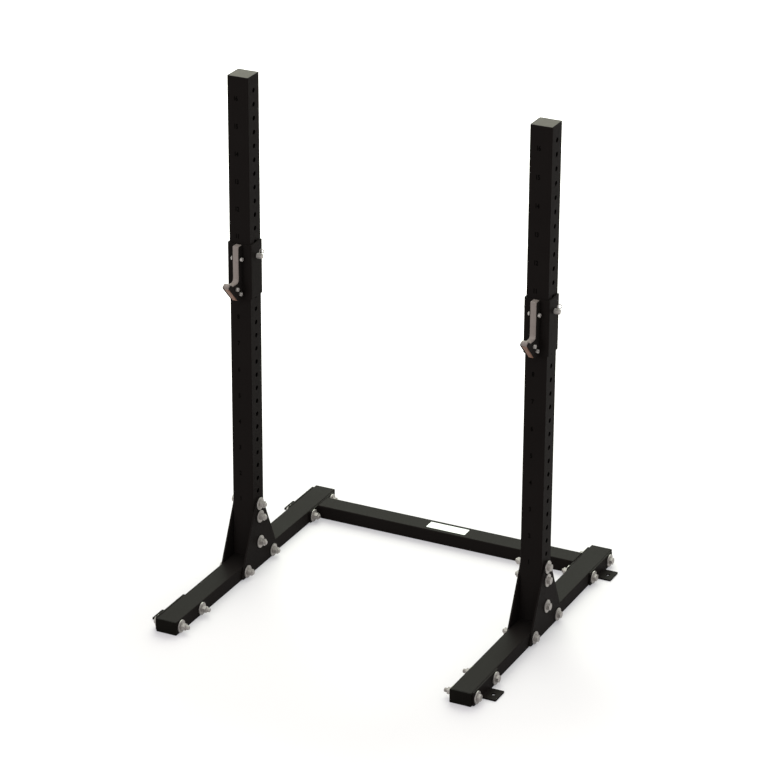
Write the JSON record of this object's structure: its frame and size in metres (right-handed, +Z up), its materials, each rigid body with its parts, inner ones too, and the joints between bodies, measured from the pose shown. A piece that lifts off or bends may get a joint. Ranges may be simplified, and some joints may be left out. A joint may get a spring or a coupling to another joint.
{
  "type": "half rack",
  "caption": "Free-standing half rack: punched square uprights on flat feet joined by a rear crossmember, with height-set bar hooks held by pull pins.",
  "frame": {"origin": "on the floor, midway between the uprights, in the plane of their hole rows", "axes": "X across the rack towards its right upright, Y towards the crossmember at the back, +Z up"},
  "size_m": [1.3146, 1.2086, 1.854],
  "materials": {
    "black_powder_coat": "fine-textured satin powder coat",
    "grey_plug_plastic": "moulded, satin",
    "black_cap_plastic": "moulded, matte",
    "zinc_plated_steel": "bright zinc plate",
    "hook_liner_nylon": "machined, satin",
    "hook_nose_nylon": "machined, satin"
  },
  "bodies": {
    "frame": {"crossmember": "black_powder_coat", "left_foot": "black_powder_coat", "left_foot_front_cap": "black_cap_plastic", "left_foot_rear_cap": "black_cap_plastic", "left_upright": "black_powder_coat", "left_upright_plug": "grey_plug_plastic", "left_outer_gusset": "black_powder_coat", "left_inner_gusset": "black_powder_coat", "left_front_floor_bracket": "black_powder_coat", "left_front_bracket_bolt_1": "zinc_plated_steel", "left_front_bracket_bolt_2": "zinc_plated_steel", "left_gusset_front_bolt": "zinc_plated_steel", "left_rear_floor_bracket": "black_powder_coat", "left_rear_bracket_bolt_1": "zinc_plated_steel", "left_rear_bracket_bolt_2": "zinc_plated_steel", "left_gusset_rear_bolt": "zinc_plated_steel", "left_upright_top_bolt": "zinc_plated_steel", "left_upright_middle_bolt": "zinc_plated_steel", "left_upright_low_bolt": "zinc_plated_steel", "right_foot": "black_powder_coat", "right_foot_front_cap": "black_cap_plastic", "right_foot_rear_cap": "black_cap_plastic", "right_upright": "black_powder_coat", "right_upright_plug": "grey_plug_plastic", "right_outer_gusset": "black_powder_coat", "right_inner_gusset": "black_powder_coat", "right_front_floor_bracket": "black_powder_coat", "right_front_bracket_bolt_1": "zinc_plated_steel", "right_front_bracket_bolt_2": "zinc_plated_steel", "right_gusset_front_bolt": "zinc_plated_steel", "right_rear_floor_bracket": "black_powder_coat", "right_rear_bracket_bolt_1": "zinc_plated_steel", "right_rear_bracket_bolt_2": "zinc_plated_steel", "right_gusset_rear_bolt": "zinc_plated_steel", "right_upright_top_bolt": "zinc_plated_steel", "right_upright_middle_bolt": "zinc_plated_steel", "right_upright_low_bolt": "zinc_plated_steel"},
    "left_hook": {"left_hook_sleeve": "black_powder_coat", "left_hook_core": "hook_liner_nylon", "left_hook_nose_strip": "hook_nose_nylon", "left_hook_left_cheek": "black_powder_coat", "left_hook_right_cheek": "black_powder_coat", "left_hook_top_bolt": "zinc_plated_steel", "left_hook_front_bolt": "zinc_plated_steel", "left_hook_rear_bolt": "zinc_plated_steel", "left_pin_bush": "black_powder_coat"},
    "left_pin": {"left_locking_pin": "zinc_plated_steel", "left_pull_ring": "zinc_plated_steel"},
    "right_hook": {"right_hook_sleeve": "black_powder_coat", "right_hook_core": "hook_liner_nylon", "right_hook_nose_strip": "hook_nose_nylon", "right_hook_left_cheek": "black_powder_coat", "right_hook_right_cheek": "black_powder_coat", "right_hook_top_bolt": "zinc_plated_steel", "right_hook_front_bolt": "zinc_plated_steel", "right_hook_rear_bolt": "zinc_plated_steel", "right_pin_bush": "black_powder_coat"},
    "right_pin": {"right_locking_pin": "zinc_plated_steel", "right_pull_ring": "zinc_plated_steel"}
  },
  "joints": [
    {"name": "left_hook_height", "type": "slide", "parent": "frame", "child": "left_hook", "axis": [0, 0, 1], "range_m": [-0.6, 0.6]},
    {"name": "left_pin_pull", "type": "slide", "parent": "left_hook", "child": "left_pin", "axis": [1, 0, 0], "range_m": [0, 0.102]},
    {"name": "right_hook_height", "type": "slide", "parent": "frame", "child": "right_hook", "axis": [0, 0, 1], "range_m": [-0.6, 0.6]},
    {"name": "right_pin_pull", "type": "slide", "parent": "right_hook", "child": "right_pin", "axis": [1, 0, 0], "range_m": [0, 0.102]}
  ]
}
